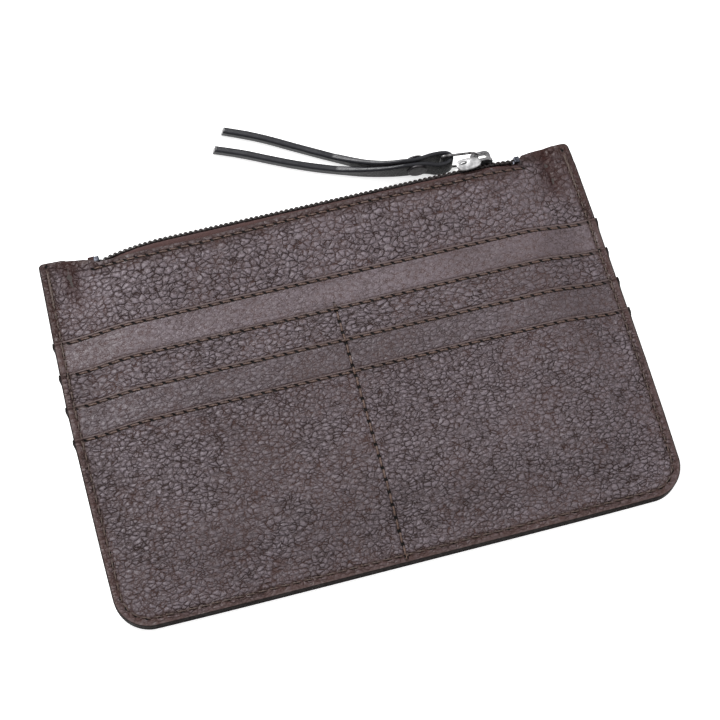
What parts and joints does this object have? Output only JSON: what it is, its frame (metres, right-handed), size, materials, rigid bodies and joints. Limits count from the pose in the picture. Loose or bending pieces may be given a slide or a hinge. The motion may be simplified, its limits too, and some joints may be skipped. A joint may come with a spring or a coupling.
{
  "type": "zippered pouch",
  "caption": "Flat leather zip pouch with a slip pocket and card slots on its front, and a forked leather pull strap on the slider's ring.",
  "frame": {"origin": "centre of the back panel's rest face, the outline's centre seen from the front", "axes": "+X along the width towards the zip's closed end, +Y from the bottom seam towards the zip, +Z out of the front panel; the pouch lies on its back"},
  "size_m": [0.199, 0.1753, 0.0098],
  "materials": {
    "leather": "semi-aniline pebbled grain, low sheen",
    "lining": "woven polyester lining",
    "zip_tape": "woven reddish-brown tape",
    "zip_coil": "dark brown nylon monofilament",
    "zip_stop": "dark lacquered clip",
    "slider": "nickel plate, slightly worn",
    "ring": "polished nickel wire",
    "strap": "black leather with glossy painted edges",
    "rivet": "gunmetal",
    "thread": "brown bonded polyester thread"
  },
  "bodies": {
    "pouch": {"back_panel": "leather", "front_panel": "leather", "slip_pocket_panel": "leather", "card_pocket_upper_panel": "leather", "card_pocket_middle_panel": "leather", "card_pocket_lower_panel": "leather", "back_lining": "lining", "front_lining": "lining", "zip_tape_front": "zip_tape", "zip_tape_back": "zip_tape", "zip_coil_front": "zip_coil", "zip_coil_back": "zip_coil", "zip_top_stops": "zip_stop", "zip_bottom_stop": "zip_stop", "edge_thread_front": "thread", "edge_thread_back": "thread", "zip_thread_front": "thread", "zip_thread_back": "thread", "slip_pocket_thread": "thread", "card_pocket_upper_thread": "thread", "card_pocket_middle_thread": "thread", "card_pocket_lower_thread": "thread", "divider_thread": "thread"},
    "slider": {"slider_body": "slider", "slider_crown": "slider"},
    "ring": {"pull_ring": "ring"},
    "strap": {"pull_strap": "strap", "rivet_cap": "rivet", "rivet_post": "rivet"}
  },
  "joints": [
    {"name": "zip_slide", "type": "slide", "parent": "pouch", "child": "slider", "axis": [-1, 0, 0], "range_m": [-0.007, 0.1335]},
    {"name": "ring_swing", "type": "hinge", "parent": "slider", "child": "ring", "pos_m": [0.0646, 0.07085, 0.00495], "axis": [0, 0, -1], "range_deg": [-2, 110]},
    {"name": "strap_swing", "type": "hinge", "parent": "ring", "child": "strap", "pos_m": [0.05122, 0.0723, 0.00495], "axis": [0, 0, -1], "range_deg": [-1.5, 45]}
  ]
}
